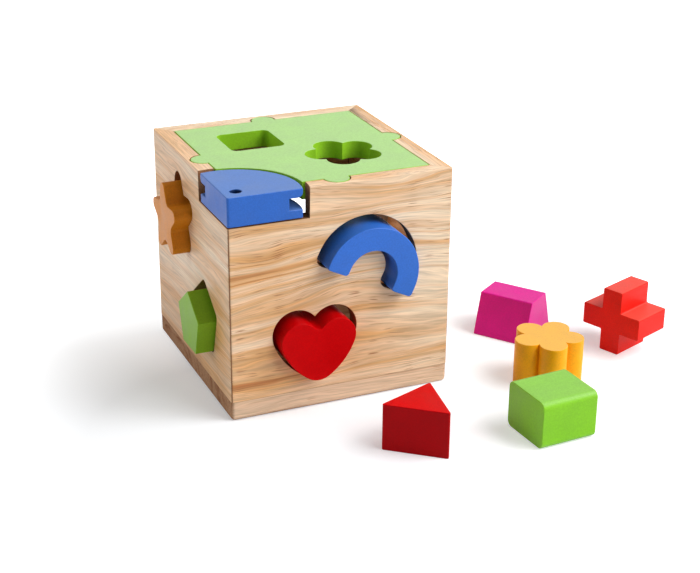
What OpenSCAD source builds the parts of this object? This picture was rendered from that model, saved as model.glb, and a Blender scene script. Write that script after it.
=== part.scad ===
// Wooden shape sorter: a mitred pine box on a base board, a painted lid that lifts out,
// a turning latch in the front left corner, and ten painted blocks.
// Millimetres, +Z up. The origin is the centre of the box's bottom face.

/* [Box] */
// Outer width and depth of the box
box_w = 140; // [136:1:180]
// Height of the box, base board included
box_h = 139; // [136:1:170]
// Thickness of the four walls
wall_t = 10; // [9.5:0.5:12]
// Thickness of the base board
base_t = 12; // [10:1:14]
// Radius of the box's upright outer corners
corner_r = 1.5; // [0.5:0.5:3]

/* [Base dowels] */
// Diameter of the dowels between the base board and the walls
dowel_d = 5; // [4:0.5:6]
// Length of each dowel
dowel_l = 18; // [14:1:20]
// Distance of each dowel from the middle of its wall
dowel_x = 46; // [40:1:50]

/* [Lid] */
// Thickness of the lid
lid_t = 11; // [8:1:14]
// Gap between the lid and the walls
lid_gap = 0.7; // [0.3:0.1:1]
// Radius of the four tabs that carry the lid
tab_r = 7.5; // [6:0.5:8]
// Extra radius of a notch round its tab
tab_gap = 0.7; // [0.3:0.1:1]
// Wood left between a notch and the outer face
rim_skin = 1.6; // [1.5:0.1:3]

/* [Latch] */
// Radius of the latch about its pivot
latch_r = 38; // [34:0.5:39]
// Thickness of the latch
latch_h = 17.8; // [16:0.1:22]
// Distance of the pivot from the left face
pivot_x = 8.5; // [8:0.1:10]
// Distance of the pivot from the front face
pivot_y = 9.6; // [8:0.1:10]
// Gap between the latch and the lid's curved edge
latch_lid_gap = 2.4; // [1:0.1:3]
// Gap between the latch and the walls at its two ends
latch_wall_gap = 4; // [2:0.1:5]
// Height of the groove round the latch
groove_h = 7; // [5:0.1:8]
// Thickness of the lip below the groove
lower_lip_h = 5.3; // [3:0.1:6]
// Depth of the groove
groove_d = 7.9; // [5:0.1:10]
// Rounding of the upper lip's lower edge
lip_r = 3; // [1:0.5:3.5]

/* [Latch pivot] */
// Diameter of the screw's plain shank
shank_d = 3.5; // [3:0.1:4]
// Radial clearance of the shank in the latch
shank_gap = 0.06; // [0.03:0.01:0.09]
// Diameter of the screw's thread in the corner block
thread_d = 3; // [2.5:0.1:3]
// Length of the thread in the corner block
thread_l = 18; // [12:1:22]
// Diameter of the screw's head
head_d = 6.2; // [5.5:0.1:6.4]
// Height of the screw's head
head_h = 2.6; // [2:0.1:3]
// Diameter of the recess that hides the head
recess_d = 6.8; // [6.6:0.1:9]
// Thickness of the latch below the head
web_t = 6; // [5:0.5:8]
// Diameter of the washer under the latch
washer_d = 14; // [12:0.5:16]
// Thickness of the washer
washer_t = 0.6; // [0.5:0.1:1]

/* [Corner block] */
// Width of the corner block
post_w = 32; // [28:1:34]
// Height of the corner block
post_h = 30; // [28:1:36]
// Thickness of the walls outside the corner block
post_skin = 3; // [2.5:0.5:4]

/* [Holes] */
// Gap all round a block in its hole in a wall
hole_gap = 3; // [2:0.1:3.2]
// Gap all round the flower block in its hole in the lid
flower_hole_gap = 1.3; // [1:0.1:1.6]
// Gap all round the square block in its hole in the lid
square_hole_gap = 2.4; // [1:0.1:3]
// Gap under a block that rests in its hole
seat_gap = 0.3; // [0.1:0.1:0.5]
// Arch hole: distance right of the wall's middle, and depth of its centre below the top
arch_at = [15, 54];
// Heart hole: distance right of the wall's middle, and height of its centre
heart_at = [-17.5, 49.5];
// Star hole: distance right of the wall's middle, and depth of its centre below the top
star_at = [-18.5, 38.7];
// Pentagon hole: distance right of the wall's middle, and height of its centre
pentagon_at = [24.5, 49.5];
// Cross hole: distance right of the wall's middle, and depth of its centre below the top
cross_at = [-26, 50];
// Trapezoid hole: distance right of the wall's middle, and height of its centre
trapezoid_at = [22, 47];
// Triangle hole: distance right of the wall's middle, and height of its centre
triangle_at = [-24, 74];
// Rectangle hole: distance right of the wall's middle, and height of its centre
rectangle_at = [30, 46];
// Square hole: distance right of the lid's middle and behind it
square_at = [-22, 24];
// Flower hole: distance right of the lid's middle and behind it
flower_at = [22, -18];

/* [Block lengths] */
// Length of the rectangle and the trapezoid block
long_block_t = 37; // [34:1:40]
// Thickness of all the other blocks
thin_block_t = 29; // [26:1:32]
// How far the arch block stands out of the front wall
arch_out = 8.5; // [5:0.5:12]
// How far the heart block stands out of the front wall
heart_out = 7; // [5:0.5:12]
// How far right of its hole's centre the arch block rests
arch_side = 0.8; // [-1:0.1:1]
// How far right of its hole's centre the star block rests
star_side = 0.7; // [-1:0.1:1]
// How far the star block stands out of the left wall
star_out = 10.5; // [5:0.5:12]
// How far the pentagon block stands out of the left wall
pentagon_out = 10.5; // [5:0.5:12]

/* [Block profiles] */
// Outer radius of the arch
arch_r = 29.5; // [26:0.5:31]
// Radius of the arch's opening
arch_inner_r = 15.5; // [13:0.5:17]
// Straight length of the arch's legs below the half ring
arch_leg = 5.2; // [2:0.1:7]
// Radius of the corners at the arch's feet
foot_r = 2; // [1:0.5:2.5]
// Clockwise tilt of the arch in its hole
arch_tilt = 25.6; // [0:0.1:30]
// Width of the heart
heart_w = 47; // [42:0.5:47]
// Height of the heart from its lobes to its tip, with the lobes' radius taken off
heart_drop = 26.5; // [24:0.5:30]
// Radius of the heart's lobes
heart_lobe_r = 11.8; // [11.8:0.1:13]
// Radius of the fillet in the heart's cleft
heart_cleft_r = 3.4; // [3.3:0.1:5]
// Radius of the heart's rounded tip
heart_tip_r = 12; // [6:0.5:14]
// Radius of the heart's curved sides
heart_side_r = 42; // [36:1:60]
// Distance of the star's unrounded points from its centre
star_r = 31; // [28:0.5:32]
// Distance of the star's unrounded inner corners from its centre
star_inner_r = 12.4; // [11:0.1:14]
// Radius of the star's points
star_point_r = 3.9; // [2.5:0.1:4]
// Radius of the star's inner corners
star_inner_round = 3.6; // [3.4:0.1:4]
// Clockwise tilt of the star in its hole
star_tilt = -5; // [-20:1:20]
// Distance of the pentagon's corners from its centre
pentagon_r = 20; // [17:0.5:22]
// Clockwise tilt of the pentagon in its hole
pentagon_tilt = -1; // [-20:1:20]
// Side of the triangle
triangle_w = 40.4; // [36:0.2:43]
// Overall width of the cross
cross_w = 43; // [38:0.5:46]
// Width of the cross's arms
cross_arm_w = 14.3; // [12:0.1:16]
// Width of the trapezoid's long side
trapezoid_w = 39.4; // [36:0.2:42]
// Width of the trapezoid's short side
trapezoid_top_w = 21.2; // [18:0.2:26]
// Height of the trapezoid
trapezoid_h = 27.5; // [25:0.5:30]
// Width of the rectangle
rectangle_w = 36; // [33:0.5:38]
// Height of the rectangle
rectangle_h = 29.3; // [26:0.1:31]
// Side of the square
square_w = 29.3; // [27:0.1:31]
// Radius of the square's corners
square_corner_r = 1.9; // [1:0.1:5]
// Radius of the rectangle's corners
rectangle_corner_r = 4; // [2:0.5:5]
// Turn of the flower hole in the lid
flower_turn = 32; // [0:1:71]
// Radius of the petals
petal_r = 8.6; // [8.2:0.1:9]
// Distance of the petals' centres from the flower's centre
petal_at = 13.7; // [13:0.1:14]
// Radius of the corners that look sharp
sharp_corner_r = 1; // [0.6:0.1:1.5]

/* [Loose blocks] */
// Triangle block: distances right of and behind the box's front right corner
loose_triangle_at = [-50.6, -67.3];
// Triangle block: turn on the floor
loose_triangle_turn = -39.1; // [-180:0.1:180]
// Rectangle block: distances right of and behind the box's front right corner
loose_rectangle_at = [27.5, -81.2];
// Rectangle block: turn on the floor
loose_rectangle_turn = 3.8; // [-180:0.1:180]
// Flower block: distances right of and behind the box's front right corner
loose_flower_at = [59.3, -19.9];
// Flower block: turn on the floor
loose_flower_turn = 39; // [-180:0.1:180]
// Trapezoid block: distances right of and behind the box's front right corner
loose_trapezoid_at = [74.4, 50.5];
// Trapezoid block: turn on the floor
loose_trapezoid_turn = -54.5; // [-180:0.1:180]
// Cross block: distances right of and behind the box's front right corner
loose_cross_at = [129.3, 2.2];
// Cross block: turn on the floor
loose_cross_turn = -68.4; // [-180:0.1:180]

/* [Hidden] */
$fn = 96;
// Cuts run this far past the faces they cut
past = 1;
// Running gap above and below the latch
turn_gap = 0.1;
// Radial gap of glued pins in their holes
glue_gap = 0.05;
// Steps of each rounded corner
corner_steps = 6;
// Least radius of a hole's corner
least_r = 0.6;
half_w = box_w / 2;
cut_z = box_h - latch_h - turn_gap - washer_t;
latch_z = box_h - latch_h;
lid_z = box_h - lid_t;
pivot = [pivot_x - half_w, pivot_y - half_w];
lid_w = box_w - 2 * wall_t - 2 * lid_gap;
tab_y = half_w - rim_skin - tab_gap - tab_r;
dowel_z = base_t - dowel_l / 2;
rest_drop = hole_gap - seat_gap;
wood = "burlywood";
steel = "silver";

// ---- Outlines ----

function unit(v) = v / norm(v);
function turned(a) = a - 360 * round(a / 360);
function on_circle(r, a) = [r * cos(a), r * sin(a)];

// Points of an arc about c, from angle a0 to angle a1
function arc(c, r, a0, a1, n) = [for (k = [0:n]) c + on_circle(r, a0 + (a1 - a0) * k / n)];

// Corner p between a and b, moved out by g
function moved_corner(a, p, b, g) =
    let (
        d1 = unit(p - a),
        d2 = unit(b - p),
        n1 = [d1.y, -d1.x],
        n2 = [d2.y, -d2.x]
    )
    p + (n1 + n2) * g / (1 + n1 * n2);

// Corner p between a and b, rounded to radius r
function round_corner(a, p, b, r) =
    let (
        u = unit(a - p),
        v = unit(b - p),
        half = acos(u * v) / 2,
        c = p + unit(u + v) * r / sin(half),
        s = p + u * r / tan(half) - c,
        e = p + v * r / tan(half) - c,
        a0 = atan2(s.y, s.x),
        sweep = turned(atan2(e.y, e.x) - a0)
    )
    arc(c, r, a0, a0 + sweep, corner_steps);

// +1 where the outline, drawn anticlockwise, turns outwards at p, and -1 where it turns inwards
function bulge(a, p, b) = sign(cross(p - a, b - p));

// Anticlockwise corners, moved out by g and rounded to the given radii plus or minus g
function outline(corners, radii, g) =
    let (
        n = len(corners),
        moved = [for (i = [0:n - 1])
            moved_corner(corners[(i + n - 1) % n], corners[i], corners[(i + 1) % n], g)]
    )
    [for (i = [0:n - 1])
        let (a = moved[(i + n - 1) % n], p = moved[i], b = moved[(i + 1) % n])
        each round_corner(a, p, b, max(least_r, radii[i] + g * bulge(a, p, b)))];

function polygon_corners(n, r, first) = [for (k = [0:n - 1]) on_circle(r, first + 360 * k / n)];

function box_corners(w, h) = [[-w / 2, -h / 2], [w / 2, -h / 2], [w / 2, h / 2], [-w / 2, h / 2]];

// Each profile is drawn as seen from outside its wall, and grows by g all round

// The half ring and its two straight legs are one outline
module arch_profile(g = 0) {
    outer = arch_r + g;
    inner = arch_inner_r - g;
    foot_y = -arch_leg - g;
    round_r = foot_r + g;
    rotate(-arch_tilt) polygon(concat(
        arc([0, 0], outer, 0, 180, 60),
        round_corner([-outer, 0], [-outer, foot_y], [-inner, foot_y], round_r),
        round_corner([-outer, foot_y], [-inner, foot_y], [-inner, 0], round_r),
        arc([0, 0], inner, 180, 0, 48),
        round_corner([inner, 0], [inner, foot_y], [outer, foot_y], round_r),
        round_corner([inner, foot_y], [outer, foot_y], [outer, 0], round_r)));
}

// The right half, from the cleft to the tip, is four arcs that flow into one another
module heart_profile(g = 0) {
    lobe_x = heart_w / 2 - heart_lobe_r;
    lobe = [lobe_x, 0];
    tip = [0, heart_tip_r - heart_drop];
    to_lobe = heart_side_r - heart_lobe_r;
    to_tip = heart_side_r - heart_tip_r;
    apart = norm(tip - lobe);
    along = (to_lobe ^ 2 - to_tip ^ 2 + apart ^ 2) / (2 * apart);
    across = sqrt(to_lobe ^ 2 - along ^ 2);
    d = unit(tip - lobe);
    side = lobe + d * along + [d.y, -d.x] * across;
    lobe_a = atan2(lobe.y - side.y, lobe.x - side.x);
    tip_a = atan2(tip.y - side.y, tip.x - side.x);
    cleft = [0, sqrt((heart_lobe_r + heart_cleft_r) ^ 2 - lobe_x ^ 2)];
    cleft_a = atan2(-cleft.y, lobe_x);
    half_outline = concat(
        arc(cleft, heart_cleft_r - g, -90, cleft_a, 6),
        arc(lobe, heart_lobe_r + g, 180 + cleft_a, lobe_a, 24),
        arc(side, heart_side_r + g, lobe_a, tip_a, 12),
        arc(tip, heart_tip_r + g, tip_a, -90, 8));
    back_up = [for (i = [len(half_outline) - 2:-1:1]) [-half_outline[i].x, half_outline[i].y]];
    polygon(concat(half_outline, back_up));
}

module star_profile(g = 0) {
    corners = [for (k = [0:9]) on_circle(k % 2 == 0 ? star_r : star_inner_r, 90 - star_tilt + 36 * k)];
    radii = [for (k = [0:9]) k % 2 == 0 ? star_point_r : star_inner_round];
    polygon(outline(corners, radii, g));
}

module sharp_profile(corners, g) {
    polygon(outline(corners, [for (c = corners) sharp_corner_r], g));
}

module pentagon_profile(g = 0) {
    sharp_profile(polygon_corners(5, pentagon_r, 90 - pentagon_tilt), g);
}

module triangle_profile(g = 0) {
    sharp_profile(polygon_corners(3, triangle_w / sqrt(3), 90), g);
}

module trapezoid_profile(g = 0) {
    low = -trapezoid_h / 2;
    sharp_profile([
        [-trapezoid_w / 2, low], [trapezoid_w / 2, low],
        [trapezoid_top_w / 2, -low], [-trapezoid_top_w / 2, -low]
    ], g);
}

module cross_profile(g = 0) {
    w = cross_w / 2;
    a = cross_arm_w / 2;
    sharp_profile([
        [a, -w], [a, -a], [w, -a], [w, a], [a, a], [a, w],
        [-a, w], [-a, a], [-w, a], [-w, -a], [-a, -a], [-a, -w]
    ], g);
}

module box_profile(w, h, r, g) {
    polygon(outline(box_corners(w, h), [for (k = [0:3]) r], g));
}

module rectangle_profile(g = 0) {
    box_profile(rectangle_w, rectangle_h, rectangle_corner_r, g);
}

module square_profile(g = 0) {
    box_profile(square_w, square_w, square_corner_r, g);
}

module flower_profile(g = 0) {
    circle(r = petal_at);
    for (k = [0:4]) rotate(72 * k) translate([petal_at, 0]) circle(r = petal_r + g);
}

// ---- Box ----

// Places its children on a wall: X runs right along the wall as seen from outside, from its middle,
// Y runs into the box from the outer face, Z runs up. Side 0 is the front, 1 right, 2 back, 3 left.
module on_wall(side) {
    rotate(90 * side) translate([0, -half_w, 0]) children();
}

// Stands a profile up in a wall's plane, from y_out in front of the outer face, t deep
module standing(t, y_out) {
    translate([0, t - y_out, 0]) rotate([90, 0, 0]) linear_extrude(t) children();
}

// Turns a place with a depth below the box's top into one with a height
function from_top(at) = [at.x, box_h - at.y];

module hole_at(at) {
    translate([at.x, 0, at.y]) standing(wall_t + 2 * past, past) children();
}

module rounded_column(w, h) {
    linear_extrude(h) box_profile(w, w, corner_r, 0);
}

// One mitred board of the box, with the cuts that every board may need
module wall_board(side) {
    intersection() {
        difference() {
            on_wall(side) translate([0, 0, base_t]) linear_extrude(box_h - base_t) polygon([
                [-half_w, 0], [half_w, 0], [half_w - wall_t, wall_t], [wall_t - half_w, wall_t]
            ]);
            on_wall(side) tab_notch();
            latch_clearance();
            post_pocket();
            dowel_set(dowel_d / 2 + glue_gap, glue_gap);
        }
        rounded_column(box_w, box_h + past);
    }
}

module tab_notch() {
    translate([0, half_w - tab_y, lid_z]) cylinder(r = tab_r + tab_gap, h = lid_t + past);
}

// Room for the latch to turn in, cut down into the front and the left wall
module latch_clearance() {
    translate([pivot.x, pivot.y, cut_z]) cylinder(r = latch_r + latch_wall_gap, h = box_h);
}

module post_pocket() {
    translate([post_skin - half_w, post_skin - half_w, cut_z - post_h]) cube([post_w, post_w, box_h]);
}

module front_wall() {
    color(wood) difference() {
        wall_board(0);
        on_wall(0) hole_at(from_top(arch_at)) arch_profile(hole_gap);
        on_wall(0) hole_at(heart_at) heart_profile(hole_gap);
    }
}

module right_wall() {
    color(wood) difference() {
        wall_board(1);
        on_wall(1) hole_at(from_top(cross_at)) cross_profile(hole_gap);
        on_wall(1) hole_at(trapezoid_at) trapezoid_profile(hole_gap);
    }
}

module back_wall() {
    color(wood) difference() {
        wall_board(2);
        on_wall(2) hole_at(triangle_at) triangle_profile(hole_gap);
        on_wall(2) hole_at(rectangle_at) rectangle_profile(hole_gap);
    }
}

module left_wall() {
    color(wood) difference() {
        wall_board(3);
        on_wall(3) hole_at(from_top(star_at)) star_profile(hole_gap);
        on_wall(3) hole_at(pentagon_at) pentagon_profile(hole_gap);
    }
}

module base_board() {
    color(wood) difference() {
        rounded_column(box_w, base_t);
        dowel_set(dowel_d / 2 + glue_gap, glue_gap);
    }
}

// Two dowels up into each wall, longer by extra at both ends when they cut their holes
module dowel_set(r, extra) {
    for (side = [0:3]) on_wall(side) {
        for (x = [-dowel_x, dowel_x]) {
            translate([x, wall_t / 2, dowel_z - extra]) cylinder(r = r, h = dowel_l + 2 * extra);
        }
    }
}

module base_dowels() {
    color(wood) dowel_set(dowel_d / 2, 0);
}

// ---- Latch and its pivot ----

module at_pivot(z) {
    translate([pivot.x, pivot.y, z]) children();
}

module corner_block() {
    color(wood) difference() {
        translate([post_skin - half_w, post_skin - half_w, cut_z - post_h]) cube([post_w, post_w, post_h]);
        at_pivot(cut_z - thread_l - glue_gap) cylinder(d = thread_d + 2 * glue_gap, h = thread_l + past);
    }
}

module pivot_washer() {
    color(steel) at_pivot(cut_z) difference() {
        cylinder(d = washer_d, h = washer_t);
        translate([0, 0, -past]) cylinder(r = shank_d / 2 + shank_gap, h = washer_t + 2 * past);
    }
}

// Wood screw with a plain shank for the latch to turn on
module pivot_screw() {
    head_z = latch_z + web_t + turn_gap;
    slot_w = 1.2;
    slot_d = 1.3;
    point_h = 3;
    color(steel) difference() {
        union() {
            at_pivot(head_z) cylinder(d = head_d, h = head_h);
            at_pivot(cut_z) cylinder(d = shank_d, h = head_z - cut_z + head_h / 2);
            at_pivot(cut_z - thread_l + point_h) cylinder(d = thread_d, h = thread_l);
            at_pivot(cut_z - thread_l) cylinder(d1 = 0.6, d2 = thread_d, h = point_h);
        }
        for (a = [0, 90]) {
            at_pivot(head_z + head_h - slot_d) rotate(a)
                translate([-head_d / 4, -slot_w / 2, 0]) cube([head_d / 2, slot_w, slot_d + past]);
        }
    }
}

// Section of the groove, whose upper lip is rounded at its mouth
module groove_section() {
    floor_r = latch_r - groove_d;
    low = lower_lip_h;
    high = lower_lip_h + groove_h;
    polygon(concat(
        [[floor_r, high], [floor_r, low], [latch_r + past, low], [latch_r + past, high + lip_r]],
        arc([latch_r - lip_r, high + lip_r], lip_r, 0, -90, corner_steps)));
}

module latch() {
    color("royalblue") difference() {
        intersection() {
            at_pivot(latch_z) cylinder(r = latch_r, h = latch_h);
            translate([0, 0, latch_z]) rounded_column(box_w, latch_h);
        }
        at_pivot(latch_z) rotate_extrude() groove_section();
        at_pivot(latch_z - past) cylinder(r = shank_d / 2 + shank_gap, h = latch_h);
        at_pivot(latch_z + web_t) cylinder(d = recess_d, h = latch_h);
    }
}

// ---- Lid ----

module lid() {
    color("yellowgreen") translate([0, 0, lid_z]) linear_extrude(lid_t) difference() {
        union() {
            square(lid_w, center = true);
            for (side = [0:3]) rotate(90 * side) translate([0, tab_y]) circle(r = tab_r);
        }
        translate(pivot) circle(r = latch_r + latch_lid_gap);
        translate(square_at) square_profile(square_hole_gap);
        translate(flower_at) rotate(flower_turn) flower_profile(flower_hole_gap);
    }
}

// ---- Blocks in their holes ----

// A block that rests in the hole at the given place, x right of its centre, and stands out of its wall
module block_in_wall(side, at, x, out) {
    on_wall(side) translate([at.x + x, 0, at.y - rest_drop]) standing(thin_block_t, out) children();
}

module arch_block() {
    color("royalblue") block_in_wall(0, from_top(arch_at), arch_side, arch_out) arch_profile();
}

module heart_block() {
    color("crimson") block_in_wall(0, heart_at, 0, heart_out) heart_profile();
}

module star_block() {
    color("orange") block_in_wall(3, from_top(star_at), star_side, star_out) star_profile();
}

module pentagon_block() {
    color("yellowgreen") block_in_wall(3, pentagon_at, 0, pentagon_out) pentagon_profile();
}

// The square block stands on the base board, straight below its hole in the lid
module square_block() {
    color("mediumvioletred") translate([square_at.x, square_at.y, base_t]) {
        linear_extrude(thin_block_t) square_profile();
    }
}

// ---- Loose blocks ----

// Places a block on the floor by its centre, measured from the box's front right corner
module on_floor(at, turn) {
    translate([half_w + at.x, at.y - half_w, 0]) rotate(turn) children();
}

// Lays a prism of the given length on the floor, so that it runs along X
module lying(rise) {
    rotate(90) translate([0, long_block_t / 2, rise]) rotate([90, 0, 0])
        linear_extrude(long_block_t) children();
}

module triangle_block() {
    color("red") on_floor(loose_triangle_at, loose_triangle_turn)
        linear_extrude(thin_block_t) triangle_profile();
}

module rectangle_block() {
    color("yellowgreen") on_floor(loose_rectangle_at, loose_rectangle_turn)
        lying(rectangle_h / 2) rectangle_profile();
}

module flower_block() {
    color("orange") on_floor(loose_flower_at, loose_flower_turn)
        linear_extrude(thin_block_t) flower_profile();
}

module trapezoid_block() {
    color("mediumvioletred") on_floor(loose_trapezoid_at, loose_trapezoid_turn)
        lying(trapezoid_h / 2) trapezoid_profile();
}

module cross_block() {
    color("tomato") on_floor(loose_cross_at, loose_cross_turn)
        translate([0, thin_block_t / 2, cross_w / 2]) rotate([90, 0, 0])
            linear_extrude(thin_block_t) cross_profile();
}

base_board();
front_wall();
right_wall();
back_wall();
left_wall();
base_dowels();
corner_block();
pivot_washer();
pivot_screw();
latch();
lid();
arch_block();
heart_block();
star_block();
pentagon_block();
square_block();
triangle_block();
rectangle_block();
flower_block();
trapezoid_block();
cross_block();
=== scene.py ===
"""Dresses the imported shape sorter: planed pine boards, painted blocks, a plain floor and soft light."""

import math
from typing import NamedTuple

import bmesh
import bpy
from bpy.props import FloatProperty, FloatVectorProperty, IntProperty, PointerProperty
from mathutils import Matrix, Vector


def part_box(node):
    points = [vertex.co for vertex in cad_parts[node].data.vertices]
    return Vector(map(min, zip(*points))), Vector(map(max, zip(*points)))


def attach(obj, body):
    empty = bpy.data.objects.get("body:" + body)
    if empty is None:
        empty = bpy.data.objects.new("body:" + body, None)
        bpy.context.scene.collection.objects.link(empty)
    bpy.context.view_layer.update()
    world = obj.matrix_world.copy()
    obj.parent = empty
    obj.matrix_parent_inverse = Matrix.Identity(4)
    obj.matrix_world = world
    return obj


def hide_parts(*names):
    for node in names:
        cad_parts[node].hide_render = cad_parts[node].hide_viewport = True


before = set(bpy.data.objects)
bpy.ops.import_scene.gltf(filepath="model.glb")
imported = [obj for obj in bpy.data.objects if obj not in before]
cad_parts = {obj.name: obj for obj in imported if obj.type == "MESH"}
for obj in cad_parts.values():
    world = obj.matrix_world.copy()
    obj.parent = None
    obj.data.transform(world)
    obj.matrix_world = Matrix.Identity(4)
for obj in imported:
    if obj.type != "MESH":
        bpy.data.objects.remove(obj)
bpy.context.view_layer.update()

bl_info = {
    "name": "Shape Sorter Finish",
    "version": (1, 0, 0),
    "blender": (4, 5, 0),
    "location": "View3D > Sidebar > Sorter",
    "description": "Dresses a wooden shape sorter's boards, lid, latch and blocks",
    "category": "Object",
}

MM = 0.001
QUARTER_TURN = math.pi / 2
SMOOTH_LIMIT = math.radians(36)  # A sharper bend than this is an edge, and is sanded round
FLAT_LIMIT = math.radians(0.2)  # Faces that bend less than this are one flat face
SAME_PLACE = 0.01 * MM  # Points this near a plane lie in it
MERGE_GAP = 0.001 * MM  # Points this near each other are one
CORNER_BAND = 2 * MM  # The base's own corner rounding lies in this outermost band
NOISE = (0.3, 0.7)  # Where nearly all of a noise's values lie


# ---- Colours ----

def linear(hex_colour):
    """An sRGB hex colour as linear red, green and blue."""
    channels = [int(hex_colour[i:i + 2], 16) / 255 for i in (1, 3, 5)]
    return tuple(c / 12.92 if c <= 0.04045 else ((c + 0.055) / 1.055) ** 2.4 for c in channels)


def colour_property(name, description, hex_colour):
    return FloatVectorProperty(
        name=name, description=description, subtype="COLOR", size=3, min=0, max=1,
        default=linear(hex_colour))


def length_property(name, description, millimetres):
    return FloatProperty(
        name=name, description=description, unit="LENGTH", min=0, default=millimetres * MM)


class SorterEdges(bpy.types.PropertyGroup):
    """How far each piece's edges are sanded round."""

    board: length_property("Walls", "Radius of the walls' sanded edges", 0.35)
    base: length_property("Base", "Radius of the base's sanded edges", 2.4)
    lid: length_property("Lid", "Radius of the lid's sanded edges", 0.4)
    latch: length_property("Latch", "Radius of the latch's sanded edges", 0.6)
    block: length_property("Blocks", "Radius of the blocks' sanded edges", 0.45)
    segments: IntProperty(
        name="Segments", description="Faces across each rounded edge", min=1, max=6, default=3)


class SorterColours(bpy.types.PropertyGroup):
    """Colours of the woods, paints and steel."""

    pine_pale: colour_property("Pine, palest", "Spring wood at its palest", "#F3D9BA")
    pine_light: colour_property("Pine, spring wood", "Pale wood between the rings", "#E8C098")
    pine_warm: colour_property("Pine, heartwood", "Warmer stretches of the board", "#DDA86F")
    pine_dark: colour_property("Pine, summer wood", "Dark line of each ring", "#B87745")
    pine_canal: colour_property("Pine, resin canals", "Short dark lines along the grain", "#A2683F")
    base_pale: colour_property("Base, palest", "The base's spring wood", "#E2C0A0")
    base_warm: colour_property("Base, warm", "The base's heartwood", "#C99C78")
    base_dark: colour_property("Base, summer wood", "Dark line of each ring of the base", "#A87850")
    glue: colour_property("Glue line", "Dark line along the glued joints", "#7B4B2A")
    birch: colour_property("Birch", "Dowels", "#D9BC8C")
    steel: colour_property("Zinc-plated steel", "Screw and washer", "#B8BCC2")
    lid_green: colour_property("Lid green, edges", "The lid's cut edges and holes", "#92CC26")
    lid_pale: colour_property("Lid green, faces", "The lid's top and underside", "#AAD384")
    latch_blue: colour_property("Latch blue, edges", "The latch's sides", "#2261BD")
    # Paler top: painted sheen, standing in for light on the latch's top
    latch_blue_sheen: colour_property("Latch blue, faces", "The latch's top", "#557CC0")
    blue: colour_property("Blue", "Arch", "#2B6ACB")
    crimson: colour_property("Crimson", "Heart", "#C60005")
    red: colour_property("Red, edges", "The triangle's sides", "#AE0008")
    # Brighter top: painted sheen on the triangle
    red_sheen: colour_property("Red, faces", "The triangle's top", "#D20509")
    coral: colour_property("Coral red, edges", "The cross's sides", "#F12012")
    # Paler top: painted sheen on the cross
    coral_sheen: colour_property("Coral red, faces", "The cross's top", "#F04D3F")
    orange: colour_property("Orange", "Star", "#D9851A")
    yellow: colour_property("Yellow, edges", "The flower's sides", "#FFAE0E")
    # Paler top: painted sheen on the flower
    yellow_sheen: colour_property("Yellow, faces", "The flower's top", "#F7BC55")
    olive: colour_property("Leaf green", "Pentagon", "#82B31D")
    green: colour_property("Green, edges", "The rectangle's sides", "#82C61A")
    # Paler top: painted sheen on the rectangle
    green_sheen: colour_property("Green, faces", "The rectangle's top", "#8BC74B")
    magenta: colour_property("Magenta", "Trapezoid and square", "#DE0B92")


class SorterStage(bpy.types.PropertyGroup):
    """Camera and lamps."""

    camera_place: FloatVectorProperty(
        name="Camera", description="Where the camera stands", subtype="XYZ", unit="LENGTH",
        size=3, default=(-0.3276, -0.8269, 0.4281))
    camera_azimuth: FloatProperty(
        name="Azimuth", description="Turn of the view from +Y towards +X", subtype="ANGLE",
        default=math.radians(23.70))
    camera_dip: FloatProperty(
        name="Dip", description="How far the view looks down", subtype="ANGLE",
        default=math.radians(23.18))
    camera_roll: FloatProperty(
        name="Roll", description="Tilt of the camera about its view", subtype="ANGLE",
        default=math.radians(0.53))
    camera_lens: FloatProperty(
        name="Lens", description="Focal length on a 36 mm sensor, in millimetres", default=79.0)
    side_power: FloatProperty(
        name="Side lamp", description="Power of the soft lamp high on the right, in watts",
        default=43.0)
    front_power: FloatProperty(
        name="Front lamp", description="Power of the soft lamp at the front right, in watts",
        default=77.0)
    fill_power: FloatProperty(
        name="Fill lamp", description="Power of the soft lamp behind the left side, in watts",
        default=26.0)
    sky_level: FloatProperty(
        name="Surroundings", description="Level of the light from all round", default=0.19)
    floor_glow: FloatProperty(
        name="Floor glow", description="Glow of the white floor beside the box", default=0.26)


# ---- Materials ----

def add(tree, kind, *values, inputs=None, stops=(), **settings):
    """Adds a node with its settings and links.

    Values go to its inputs in order and inputs go by name. Each is a number, a colour, a socket,
    or a node, which gives its first output. Stops are a colour ramp's positions and colours.
    """
    node = tree.nodes.new("ShaderNode" + kind)
    for name, setting in settings.items():
        setattr(node, name, setting)
    for _ in stops[2:]:
        node.color_ramp.elements.new(1)
    for index, (position, colour) in enumerate(stops):
        node.color_ramp.elements[index].position = position
        node.color_ramp.elements[index].color = colour
    sockets = [socket for socket in node.inputs if socket.enabled]
    named = [(node.inputs[name], value) for name, value in (inputs or {}).items()]
    for socket, value in [*zip(sockets, values), *named]:
        if isinstance(value, bpy.types.Node):
            value = next(output for output in value.outputs if output.enabled)
        if isinstance(value, bpy.types.NodeSocket):
            tree.links.new(value, socket)
        else:
            socket.default_value = value
    return node


def new_material(name):
    material = bpy.data.materials.new(name)
    material.use_nodes = True
    material.node_tree.nodes.clear()
    return material, material.node_tree


def per_metre(*sizes):
    """How many times per metre a pattern repeats along each axis, from its sizes in millimetres."""
    return tuple(1 / (size * MM) for size in sizes)


def rgba(colour):
    return (*colour, 1)


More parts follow.
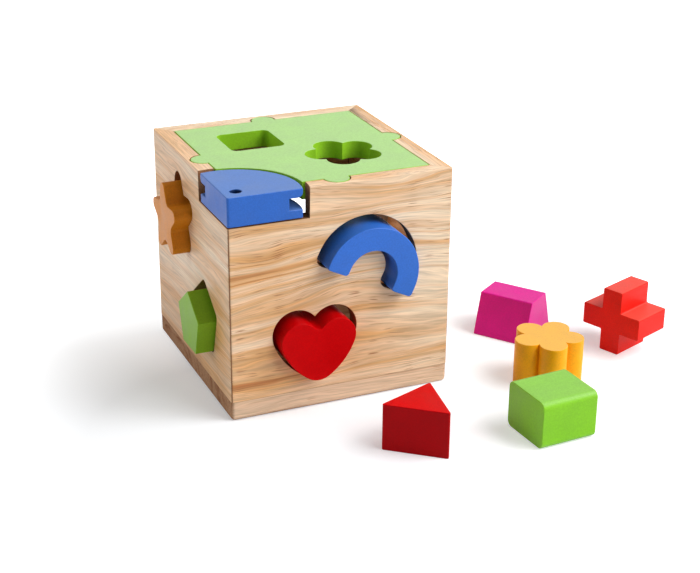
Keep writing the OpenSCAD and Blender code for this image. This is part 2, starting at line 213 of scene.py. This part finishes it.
class Grain(NamedTuple):
    """How a board was cut. X runs along the board and Z up its face; lengths are in millimetres."""

    turn: float = 0.0  # Turn of the board about Z
    heart: tuple = (0, 0)  # The tree's heart: how far through and how far up from the origin
    ring_w: float = 5.5  # Width of a growth ring
    swells: tuple = ()  # Humps that bend the rings: x, z, reach along x, reach along z, rise
    tints_and_light: tuple = ()  # Warm and pale patches, some of them painted highlight and shade: x, z, reach along x, reach along z, amount
    seed: float = 0.0  # Shifts the noises, so that no two boards are alike
    lines: float = 0.5  # How strongly the summer wood shows
    flecks: float = 1.0  # How strongly the resin canals show
    soaked_and_shaded: tuple = (0.4, 0.27, 0.19)  # How much darker ends and cut faces turn: end grain soaking up varnish, and painted shade in holes and cut ends
    glued: bool = True  # Whether the board's mitres and foot show a glue line


WALL_GRAINS = {
    "front_wall": Grain(
        heart=(-28, 10), ring_w=6.6, seed=1.0, lines=0.8,
        swells=((20, 62, 66, 60, 9), (8, 76, 30, 14, 4), (36, 26, 40, 14, -4)),
        tints_and_light=((58, 76, 30, 60, -0.18), (-50, 22, 30, 14, 0.11), (-2, 74, 28, 12, -0.06),
               (-48, 100, 26, 32, 0.08))),
    "right_wall": Grain(
        turn=QUARTER_TURN, heart=(-20, 60), ring_w=6.0, seed=2.0,
        # The pale strip along the top rim is a painted highlight
        swells=((-20, 100, 40, 25, 6),), tints_and_light=((0, 139, 400, 8, -0.07),)),
    "back_wall": Grain(
        heart=(30, 40), ring_w=5.5, seed=3.0,
        # The pale strip along the top rim is a painted highlight
        swells=((20, 90, 50, 20, -6),), tints_and_light=((0, 139, 400, 8, -0.14),)),
    "left_wall": Grain(
        turn=QUARTER_TURN, heart=(30, -60), ring_w=11.0, seed=4.0, lines=0.3, flecks=0.4,
        tints_and_light=((-8, 92, 12, 18, 0.02), (-50, 50, 14, 28, 0.14), (10, 72, 34, 12, -0.12),
               # The patch along the foot is painted shade, darker where the floor beside the wall lies in
               # shadow
               (0, 12, 90, 16, 0.02))),
}
BASE_GRAIN = Grain(
    heart=(40, -30), ring_w=6.0, seed=5.0, lines=1.0, flecks=0.5, soaked_and_shaded=(0.57, 0.44, 0.35),
    glued=False)
CORNER_GRAIN = Grain(heart=(20, 50), seed=6.0, glued=False)


def planed_pine(name, grain, woods, canal, glue):
    """Planed radiata pine under a clear satin varnish.

    Pale spring wood and orange-brown summer wood alternate in soft wavy bands and fine lines, with
    long fibres and short dark resin canals. Ends soak up the varnish and turn darker, and the walls
    of holes and cut ends below the rim are painted darker still, as shade.
    """
    material, tree = new_material(name)
    coordinates = add(tree, "TexCoord").outputs
    place = coordinates["Object"]
    board = add(tree, "Mapping", place, (0, 0, 0), (0, 0, grain.turn), vector_type="TEXTURE")

    # Humps in the rings, and warm and pale patches, some of them painted highlight and shade
    humps = {"swells": 0.0, "tints_and_light": 0.0}
    for kind in humps:
        for x, z, reach_x, reach_z, height in getattr(grain, kind):
            away = add(tree, "VectorMath", board, (x * MM, 0, z * MM), operation="SUBTRACT")
            spread = per_metre(reach_x, 1, reach_z)
            reach = add(tree, "VectorMath", away, (spread[0], 0, spread[2]), operation="MULTIPLY")
            square = add(tree, "VectorMath", reach, reach, operation="DOT_PRODUCT").outputs["Value"]
            fade = add(tree, "Math", math.e, add(
                tree, "Math", square, -1.0, operation="MULTIPLY"), operation="POWER")
            humps[kind] = add(tree, "Math", fade, height, humps[kind], operation="MULTIPLY_ADD")

    # The trunk's own waves, 140 mm long, and ripples 30 mm long, lift the rings by 26 and 3.4 mm
    shift = (grain.seed * 0.37, grain.seed * 0.11, grain.seed * 0.23)
    seeded = add(tree, "VectorMath", board, shift, operation="ADD")
    lift = add(tree, "Math", humps["swells"], -MM, operation="MULTIPLY")
    for sizes, rise in (((140, 50, 30), 26), ((30, 16, 8), 3.4)):
        stretched = add(tree, "VectorMath", seeded, per_metre(*sizes), operation="MULTIPLY")
        wave = add(tree, "TexNoise", inputs={"Vector": stretched, "Scale": 1, "Detail": 1})
        centred = add(tree, "Math", wave, 0.5, operation="SUBTRACT")
        lift = add(tree, "Math", centred, rise * MM, lift, operation="MULTIPLY_ADD")
    lifted = add(tree, "CombineXYZ", 0, 0, lift)
    flow = add(tree, "VectorMath", board, lifted, operation="ADD")
    seeded_flow = add(tree, "VectorMath", seeded, lifted, operation="ADD")

    # Features that run along the grain, by their length, depth and height in millimetres
    features = {}
    for feature, sizes, detail in (
            ("patch", (110, 25, 14), 1), ("streak", (100, 9, 4), 3), ("fibre", (26, 0.9, 0.8), 3),
            ("canal", (12, 0.5, 0.42), 0), ("cluster", (45, 8, 8), 0)):
        stretched = add(tree, "VectorMath", seeded_flow, per_metre(*sizes), operation="MULTIPLY")
        features[feature] = add(
            tree, "TexNoise", inputs={"Vector": stretched, "Scale": 1, "Detail": detail})

    # Rings round the tree's heart, which runs along the board: soft uneven bands, and a sharp line
    # where each ring's summer wood darkens and stops
    depth, height = grain.heart
    out = add(tree, "VectorMath", flow, (0, depth * MM, height * MM), operation="SUBTRACT")
    spoke = add(tree, "VectorMath", out, (0, 1, 1), operation="MULTIPLY")
    distance = add(tree, "VectorMath", spoke, operation="LENGTH").outputs["Value"]
    turn = add(tree, "Math", distance, grain.ring_w * MM, operation="DIVIDE")
    band = add(tree, "TexNoise", noise_dimensions="1D", inputs={"W": turn, "Scale": 1, "Detail": 3})
    phase = add(tree, "Math", turn, operation="FRACT")
    growth = [(at, (dark, dark, dark, 1)) for at, dark in (
        (0, 0.1), (0.1, 0.0), (0.55, 0.15), (0.8, 0.5), (0.94, 1.0), (1, 0.1))]
    summer = add(tree, "ValToRGB", phase, stops=growth)
    strong = add(tree, "MapRange", features["streak"], 0.42, 0.62, 0.05, 1.0)
    line = add(tree, "Math", summer, strong, operation="MULTIPLY")

    tone = humps["tints_and_light"]
    for part, share in (
            (band, 0.42), (features["streak"], 0.2), (features["patch"], 0.38),
            (line, grain.lines * 0.22)):
        tone = add(tree, "Math", part, share, tone, operation="MULTIPLY_ADD")
    wood = add(tree, "ValToRGB", tone, stops=[
        (at, rgba(colour)) for at, colour in zip((0.34, 0.49, 0.63, 0.8), woods)])

    fibre_tone = add(tree, "MapRange", features["fibre"], *NOISE, 0.77, 1.16)
    fibred = add(tree, "Mix", 1.0, wood, fibre_tone, data_type="RGBA", blend_type="MULTIPLY")
    canals = add(tree, "MapRange", features["canal"], 0.63, 0.74, 0.0, 0.8 * grain.flecks)
    clusters = add(tree, "MapRange", features["cluster"], 0.4, 0.6, 0.1, 1.0)
    canal_mask = add(tree, "Math", canals, clusters, operation="MULTIPLY")
    flecked = add(tree, "Mix", canal_mask, fibred, rgba(canal), data_type="RGBA")

    # Ends, by the face's direction along the board, and the walls of holes, below the rim: end grain
    # soaking up varnish, and painted shade in holes and cut ends
    facing = add(
        tree, "Mapping", coordinates["Normal"], (0, 0, 0), (0, 0, grain.turn), vector_type="TEXTURE")
    facing_axes = add(tree, "SeparateXYZ", facing).outputs
    along, through = (add(tree, "Math", facing_axes[axis], operation="ABSOLUTE") for axis in "XY")
    ends = add(tree, "MapRange", along, 0.3, 0.85, 0.0, 1.0)
    axes = add(tree, "SeparateXYZ", place).outputs
    foot, rim = (corner.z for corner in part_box("front_wall"))
    below = add(tree, "MapRange", axes["Z"], rim - 2 * MM, rim - MM, 1.0, 0.0)
    sawn_and_shaded = add(tree, "MapRange", through, 0.3, 0.85, below, 0.0)
    cuts_and_shade = add(tree, "Math", ends, sawn_and_shaded, operation="MAXIMUM")
    soaked_and_shaded = add(
        tree, "Mix", 1.0, flecked, rgba(grain.soaked_and_shaded), data_type="RGBA", blend_type="MULTIPLY")
    colour = add(tree, "Mix", cuts_and_shade, flecked, soaked_and_shaded, data_type="RGBA")

    if grain.glued:
        # Dark glue lines, 0.5 mm wide, up the outside of the mitres and along the foot
        x, y = (add(tree, "Math", axes[axis], operation="ABSOLUTE") for axis in "XY")
        mitre = add(tree, "Math", add(
            tree, "Math", x, y, operation="SUBTRACT"), operation="ABSOLUTE")
        corner = add(tree, "MapRange", mitre, 0.2 * MM, 0.6 * MM, 0.9, 0.0)
        bottom = add(tree, "MapRange", axes["Z"], foot + 0.1 * MM, foot + 0.5 * MM, 0.6, 0.0)
        level = add(tree, "Math", add(
            tree, "SeparateXYZ", coordinates["Normal"]).outputs["Z"], operation="ABSOLUTE")
        seam = add(tree, "Math", add(
            tree, "Math", corner, bottom, operation="MAXIMUM"), level, operation="SUBTRACT",
            use_clamp=True)
        colour = add(tree, "Mix", seam, colour, rgba(glue), data_type="RGBA")

    relief = add(tree, "Math", line, 0.6, features["fibre"], operation="MULTIPLY_ADD")
    bump = add(tree, "Bump", inputs={"Height": relief, "Strength": 0.25, "Distance": 0.08 * MM})
    shader = add(tree, "BsdfPrincipled", inputs={
        "Base Color": colour, "Roughness": add(tree, "MapRange", cuts_and_shade, 0, 1, 0.45, 0.85),
        "IOR": 1.45, "Specular IOR Level": 0.35, "Normal": bump})
    add(tree, "OutputMaterial", shader)
    return material


def painted_wood(name, colour, face_colour=None, shine=0.5, shaded_hole=None):
    """Satin water-based paint, sprayed on sanded beech: a fine even speckle like orange peel.

    Where a face colour is given, flat tops and undersides take it: on the lid because the stain lies
    thinner there than on the thirsty cut edges, and on the latch and blocks as a painted sheen, the
    paler tops standing in for light on them. A hole, given by its x, y, radius and mouth, is painted
    darker inside as shade.
    """
    material, tree = new_material(name)
    coordinates = add(tree, "TexCoord").outputs
    place = coordinates["Object"]
    # Speckle 0.9 mm across, drawn coarser than the real 0.3 mm so that it shows, and a film whose
    # thickness varies over 15 mm
    speckle = add(tree, "TexNoise", inputs={
        "Vector": place, "Scale": per_metre(0.9)[0], "Detail": 2})
    film = add(tree, "TexNoise", inputs={"Vector": place, "Scale": per_metre(15)[0], "Detail": 2})
    coat = rgba(colour)
    # Flat tops take the face colour: a thinner stain on the lid, a painted sheen on the latch and blocks
    if face_colour:
        upright = add(tree, "Math", add(
            tree, "SeparateXYZ", coordinates["Normal"]).outputs["Z"], operation="ABSOLUTE")
        flat = add(tree, "MapRange", upright, 0.5, 0.9, 0.0, 1.0)
        coat = add(tree, "Mix", flat, coat, rgba(face_colour), data_type="RGBA")
    film_tone = add(tree, "MapRange", film, *NOISE, 0.95, 1.04)
    speckle_tone = add(tree, "MapRange", speckle, *NOISE, 0.91, 1.06)
    tone = add(tree, "Math", film_tone, speckle_tone, operation="MULTIPLY")
    # Painted shade inside a drilled hole, which the lamps hardly reach
    if shaded_hole:
        x, y, radius, mouth = shaded_hole
        away = add(tree, "VectorMath", place, (x, y, 0), operation="SUBTRACT")
        level = add(tree, "VectorMath", away, (1, 1, 0), operation="MULTIPLY")
        distance = add(tree, "VectorMath", level, operation="LENGTH").outputs["Value"]
        outside = add(tree, "MapRange", distance, radius, radius + 0.2 * MM, 0.2, 1.0)
        above = add(tree, "MapRange", add(tree, "SeparateXYZ", place).outputs["Z"],
                    mouth - 0.8 * MM, mouth, 0.0, 1.0)
        hole_shade = add(tree, "Math", outside, above, operation="MAXIMUM")
        tone = add(tree, "Math", tone, hole_shade, operation="MULTIPLY")
    painted = add(tree, "Mix", 1.0, coat, tone, data_type="RGBA", blend_type="MULTIPLY")
    dull = add(tree, "MapRange", film, *NOISE, 0.38, 0.5)
    bump = add(tree, "Bump", inputs={"Height": speckle, "Strength": 0.2, "Distance": 0.05 * MM})
    shader = add(tree, "BsdfPrincipled", inputs={
        "Base Color": painted, "Roughness": dull, "IOR": 1.5, "Specular IOR Level": shine,
        "Normal": bump})
    add(tree, "OutputMaterial", shader)
    return material


def raw_birch(name, colour):
    """Turned birch dowel, left raw: fine upright fibres and no gloss."""
    material, tree = new_material(name)
    place = add(tree, "TexCoord").outputs["Object"]
    stretched = add(tree, "VectorMath", place, per_metre(0.7, 0.7, 17), operation="MULTIPLY")
    fibre = add(tree, "TexNoise", inputs={"Vector": stretched, "Scale": 1, "Detail": 3})
    tone = add(tree, "MapRange", fibre, *NOISE, 0.8, 1.1)
    colour = add(tree, "Mix", 1.0, rgba(colour), tone, data_type="RGBA", blend_type="MULTIPLY")
    shader = add(tree, "BsdfPrincipled", inputs={"Base Color": colour, "Roughness": 0.7})
    add(tree, "OutputMaterial", shader)
    return material


def zinc_steel(name, colour):
    """Zinc-plated steel, tumbled: a soft metal with faint cloudy spots 1 mm across."""
    material, tree = new_material(name)
    place = add(tree, "TexCoord").outputs["Object"]
    spots = add(tree, "TexNoise", inputs={"Vector": place, "Scale": per_metre(1)[0], "Detail": 3})
    tone = add(tree, "MapRange", spots, *NOISE, 0.85, 1.1)
    colour = add(tree, "Mix", 1.0, rgba(colour), tone, data_type="RGBA", blend_type="MULTIPLY")
    dull = add(tree, "MapRange", spots, *NOISE, 0.28, 0.42)
    shader = add(tree, "BsdfPrincipled", inputs={
        "Base Color": colour, "Metallic": 1.0, "Roughness": dull})
    add(tree, "OutputMaterial", shader)
    return material


# ---- Pieces ----

def on_mitre(edge):
    """True for an edge in one of the upright planes where two walls meet."""
    return all(abs(abs(v.co.x) - abs(v.co.y)) < SAME_PLACE for v in edge.verts)


def eased_copy(node, name, radius, segments, skip=None, squared=None):
    """A merged copy of a CAD node with its outward edges sanded round.

    Points between squared and the outside of a square board go to its nearest corner, so that
    the rounding there can be larger than the CAD's own.
    """
    shape = bmesh.new()
    shape.from_mesh(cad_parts[node].data)
    if squared:
        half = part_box(node)[1].x
        for point in shape.verts:
            if min(abs(point.co.x), abs(point.co.y)) > squared:
                point.co.x = math.copysign(half, point.co.x)
                point.co.y = math.copysign(half, point.co.y)
    bmesh.ops.remove_doubles(shape, verts=shape.verts, dist=MERGE_GAP)
    bmesh.ops.dissolve_limit(
        shape, angle_limit=FLAT_LIMIT, use_dissolve_boundaries=False,
        verts=shape.verts, edges=shape.edges)
    sharp = [
        edge for edge in shape.edges
        if edge.is_manifold and edge.is_convex and edge.calc_face_angle() > SMOOTH_LIMIT
        and not (skip and skip(edge))]
    bmesh.ops.bevel(
        shape, geom=sharp, offset=radius, offset_type="OFFSET", segments=segments, profile=0.5,
        affect="EDGES", material=-1, clamp_overlap=False)
    mesh = bpy.data.meshes.new(name)
    shape.to_mesh(mesh)
    shape.free()
    mesh.shade_smooth()
    mesh.set_sharp_from_angle(angle=SMOOTH_LIMIT)
    piece = bpy.data.objects.new(name, mesh)
    bpy.context.scene.collection.objects.link(piece)
    flats = piece.modifiers.new("Keep flats flat", "WEIGHTED_NORMAL")
    flats.keep_sharp = True
    return piece


def dress(node, name, body, material, radius, segments, skip=None, squared=None):
    """Puts an eased, painted or varnished piece in a CAD node's place, on that node's body."""
    piece = eased_copy(node, name, radius, segments, skip, squared)
    piece.data.materials.append(material)
    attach(piece, body)
    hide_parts(node)


def finish_node(node, material):
    """Gives a CAD node that stays as it is its material."""
    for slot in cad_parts[node].material_slots:
        slot.material = material


class SORTER_OT_box(bpy.types.Operator):
    """Dress the base board and the four mitred walls"""

    bl_idname = "sorter.box"
    bl_label = "Box"

    def execute(self, context):
        colours = context.scene.sorter_colours
        edges = context.scene.sorter_edges
        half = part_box("base_board")[1].x
        base_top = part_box("base_board")[1].z

        def keep_crisp(edge):
            hidden = all(v.co.z < base_top + SAME_PLACE for v in edge.verts)
            return hidden or on_mitre(edge)

        def keep_base_crisp(edge):
            inside = any(max(abs(v.co.x), abs(v.co.y)) < half - MM for v in edge.verts)
            return inside or all(v.co.z > base_top - SAME_PLACE for v in edge.verts)

        woods = (colours.pine_pale, colours.pine_light, colours.pine_warm, colours.pine_dark)
        marks = (colours.pine_canal, colours.glue)
        for node, grain in WALL_GRAINS.items():
            pine = planed_pine(f"planed_pine_{node}", grain, woods, *marks)
            dress(node, f"{node}_board", "box", pine,
                  edges.board, edges.segments, keep_crisp)
        base_woods = (colours.base_pale, colours.base_pale, colours.base_warm, colours.base_dark)
        base_pine = planed_pine("planed_pine_base", BASE_GRAIN, base_woods, *marks)
        dress("base_board", "base_board_planed", "box", base_pine,
              edges.base, edges.segments, keep_base_crisp, half - CORNER_BAND)
        finish_node("corner_block", planed_pine(
            "planed_pine_corner", CORNER_GRAIN, woods, *marks))
        finish_node("base_dowels", raw_birch("raw_birch", colours.birch))
        return {"FINISHED"}


class SORTER_OT_lid(bpy.types.Operator):
    """Dress the lid"""

    bl_idname = "sorter.lid"
    bl_label = "Lid"

    def execute(self, context):
        colours = context.scene.sorter_colours
        edges = context.scene.sorter_edges
        dress("lid", "lid_painted", "lid",
              painted_wood("satin_stain_lid_green", colours.lid_green, colours.lid_pale, shine=0.3),
              edges.lid, edges.segments)
        return {"FINISHED"}


class SORTER_OT_latch(bpy.types.Operator):
    """Dress the latch, its screw and its washer"""

    bl_idname = "sorter.latch"
    bl_label = "Latch"

    def execute(self, context):
        colours = context.scene.sorter_colours
        edges = context.scene.sorter_edges
        # The screw's hole in the latch is painted darker inside: painted shade
        low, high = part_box("pivot_screw")
        shaded_hole = ((low.x + high.x) / 2, (low.y + high.y) / 2, (high.x - low.x) / 2 + 0.5 * MM,
                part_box("latch")[1].z)
        # The latch's paler top is a painted sheen
        dress("latch", "latch_painted", "latch",
              painted_wood("satin_paint_latch_blue", colours.latch_blue, colours.latch_blue_sheen,
                           shine=0.35, shaded_hole=shaded_hole),
              edges.latch, edges.segments)
        steel = zinc_steel("zinc_plated_steel", colours.steel)
        finish_node("pivot_screw", steel)
        finish_node("pivot_washer", steel)
        return {"FINISHED"}


class SORTER_OT_blocks(bpy.types.Operator):
    """Dress the ten blocks"""

    bl_idname = "sorter.blocks"
    bl_label = "Blocks"

    def execute(self, context):
        colours = context.scene.sorter_colours
        edges = context.scene.sorter_edges
        # Each slot's shine, colours and blocks: the reds are nearly matt. A second colour is the paler
        # top, a painted sheen
        paints = (
            ("blue_paint", 0.35, ("blue",), ("arch",)),
            ("crimson_paint", 0.06, ("crimson",), ("heart",)),
            ("orange_paint", 0.2, ("orange",), ("star",)),
            ("green_paint", 0.25, ("olive",), ("pentagon",)),
            ("green_paint", 0.3, ("green", "green_sheen"), ("rectangle",)),
            ("magenta_paint", 0.3, ("magenta",), ("square", "trapezoid")),
            ("red_paint", 0.08, ("red", "red_sheen"), ("triangle",)),
            ("yellow_paint", 0.2, ("yellow", "yellow_sheen"), ("flower",)),
            ("coral_paint", 0.15, ("coral", "coral_sheen"), ("cross",)),
        )
        for slot, shine, shades, blocks in paints:
            paint = painted_wood(
                f"satin_paint_{shades[0]}", *(getattr(colours, shade) for shade in shades),
                shine=shine)
            for block in blocks:
                dress(f"{block}_block", f"{block}_block_painted", block, paint,
                      edges.block, edges.segments)
        return {"FINISHED"}


# Each lamp's place and diameter, in metres, and the setting of its power
LAMPS = (
    ("side_lamp", (1.69, -0.57, 2.13), 1.8, "side_power"),
    ("front_lamp", (1.85, -1.85, 1.87), 2.8, "front_power"),
    ("fill_lamp", (-2.4, 1.0, 1.65), 2.0, "fill_power"),
)
LAMP_TARGET = Vector((0.03, -0.03, 0.05))
SENSOR_WIDTH = 36  # Millimetres
FLOOR_REACH = 4  # Metres from the middle of the floor to its sides
# Where shadows fall, and so the floor's glow fades: beside the box, and less among the loose
# blocks. Each is a middle, two distances between which the glow grows to white, and how much
# stronger it is there than beside the box.
SHADED = (((-0.065, -0.09, 0), 0.095, 0.245, 0.0), ((0.14, -0.08, 0), 0.1, 0.17, 0.16))


class SORTER_OT_stage(bpy.types.Operator):
    """Set up the floor, the surroundings, the lamps and the camera"""

    bl_idname = "sorter.stage"
    bl_label = "Stage"

    def execute(self, context):
        stage = context.scene.sorter_stage
        self.floor(stage.floor_glow)
        self.surroundings(context.scene, stage.sky_level)
        for name, place, size, power in LAMPS:
            self.lamp(name, place, size, getattr(stage, power))
        self.camera(context.scene, stage)
        context.scene.view_settings.view_transform = "Standard"
        return {"FINISHED"}

    @staticmethod
    def floor(glow_level):
        """A wide matt white floor that keeps soft shadows and otherwise shows pure white."""
        shape = bmesh.new()
        bmesh.ops.create_grid(shape, x_segments=1, y_segments=1, size=FLOOR_REACH)
        mesh = bpy.data.meshes.new("studio_floor")
        shape.to_mesh(mesh)
        shape.free()
        floor = bpy.data.objects.new("studio_floor", mesh)
        bpy.context.scene.collection.objects.link(floor)
        material, tree = new_material("studio_paper")
        rays = add(tree, "LightPath").outputs
        seen = add(
            tree, "Math", rays["Is Camera Ray"], rays["Is Glossy Ray"], operation="MAXIMUM")
        place = add(tree, "TexCoord").outputs["Object"]
        level = 1.0
        for middle, near, far, extra in SHADED:
            away = add(tree, "VectorMath", place, middle, operation="DISTANCE").outputs["Value"]
            glow_here = add(tree, "MapRange", away, near, far, glow_level + extra, 1.0)
            level = add(tree, "Math", glow_here, level, operation="MINIMUM")
        glow = add(tree, "Emission", (1, 1, 1, 1), add(
            tree, "Math", seen, level, operation="MULTIPLY"))
        matt = add(tree, "BsdfDiffuse", (0.755, 0.775, 0.8, 1))
        add(tree, "OutputMaterial", add(tree, "AddShader", matt, glow))
        mesh.materials.append(material)

    @staticmethod
    def surroundings(scene, level):
        """White all round to the camera and in reflections, and a plain soft level as light."""
        world = bpy.data.worlds.new("studio_white")
        world.use_nodes = True
        tree = world.node_tree
        tree.nodes.clear()
        rays = add(tree, "LightPath").outputs
        seen = 0.0
        for ray in ("Is Camera Ray", "Is Glossy Ray", "Is Transmission Ray"):
            seen = add(tree, "Math", rays[ray], seen, operation="MAXIMUM")
        strength = add(tree, "Mix", seen, level, 1.0, data_type="FLOAT")
        add(tree, "OutputWorld", add(tree, "Background", (1, 1, 1, 1), strength))
        scene.world = world

    @staticmethod
    def lamp(name, place, size, power):
        data = bpy.data.lights.new(name, "AREA")
        data.shape = "DISK"
        data.size = size
        data.energy = power
        lamp = bpy.data.objects.new(name, data)
        bpy.context.scene.collection.objects.link(lamp)
        aim = (LAMP_TARGET - Vector(place)).to_track_quat("-Z", "Y")
        lamp.matrix_world = Matrix.Translation(place) @ aim.to_matrix().to_4x4()

    @staticmethod
    def camera(scene, stage):
        data = bpy.data.cameras.new("camera")
        data.lens = stage.camera_lens
        data.sensor_width = SENSOR_WIDTH
        camera = bpy.data.objects.new("camera", data)
        scene.collection.objects.link(camera)
        camera.matrix_world = (
            Matrix.Translation(stage.camera_place)
            @ Matrix.Rotation(-stage.camera_azimuth, 4, "Z")
            @ Matrix.Rotation(QUARTER_TURN - stage.camera_dip, 4, "X")
            @ Matrix.Rotation(stage.camera_roll, 4, "Z"))
        scene.camera = camera


STEPS = (SORTER_OT_box, SORTER_OT_lid, SORTER_OT_latch, SORTER_OT_blocks, SORTER_OT_stage)


class SORTER_PT_panel(bpy.types.Panel):
    """Lists the sorter's pieces and their settings"""

    bl_idname = "SORTER_PT_panel"
    bl_label = "Shape Sorter"
    bl_space_type = "VIEW_3D"
    bl_region_type = "UI"
    bl_category = "Sorter"

    def draw(self, context):
        scene = context.scene
        for group in (scene.sorter_edges, scene.sorter_colours, scene.sorter_stage):
            box = self.layout.box()
            for name in group.bl_rna.properties.keys():
                if name not in ("rna_type", "name"):
                    box.prop(group, name)
        for step in STEPS:
            self.layout.operator(step.bl_idname)


GROUPS = {"sorter_edges": SorterEdges, "sorter_colours": SorterColours, "sorter_stage": SorterStage}
CLASSES = (*GROUPS.values(), *STEPS, SORTER_PT_panel)


def register():
    for cls in CLASSES:
        bpy.utils.register_class(cls)
    for name, group in GROUPS.items():
        setattr(bpy.types.Scene, name, PointerProperty(type=group))


def unregister():
    for name in GROUPS:
        delattr(bpy.types.Scene, name)
    for cls in reversed(CLASSES):
        bpy.utils.unregister_class(cls)


def main():
    register()
    bpy.ops.sorter.box()
    bpy.ops.sorter.lid()
    bpy.ops.sorter.latch()
    bpy.ops.sorter.blocks()
    bpy.ops.sorter.stage()


if __name__ == "__main__":
    main()
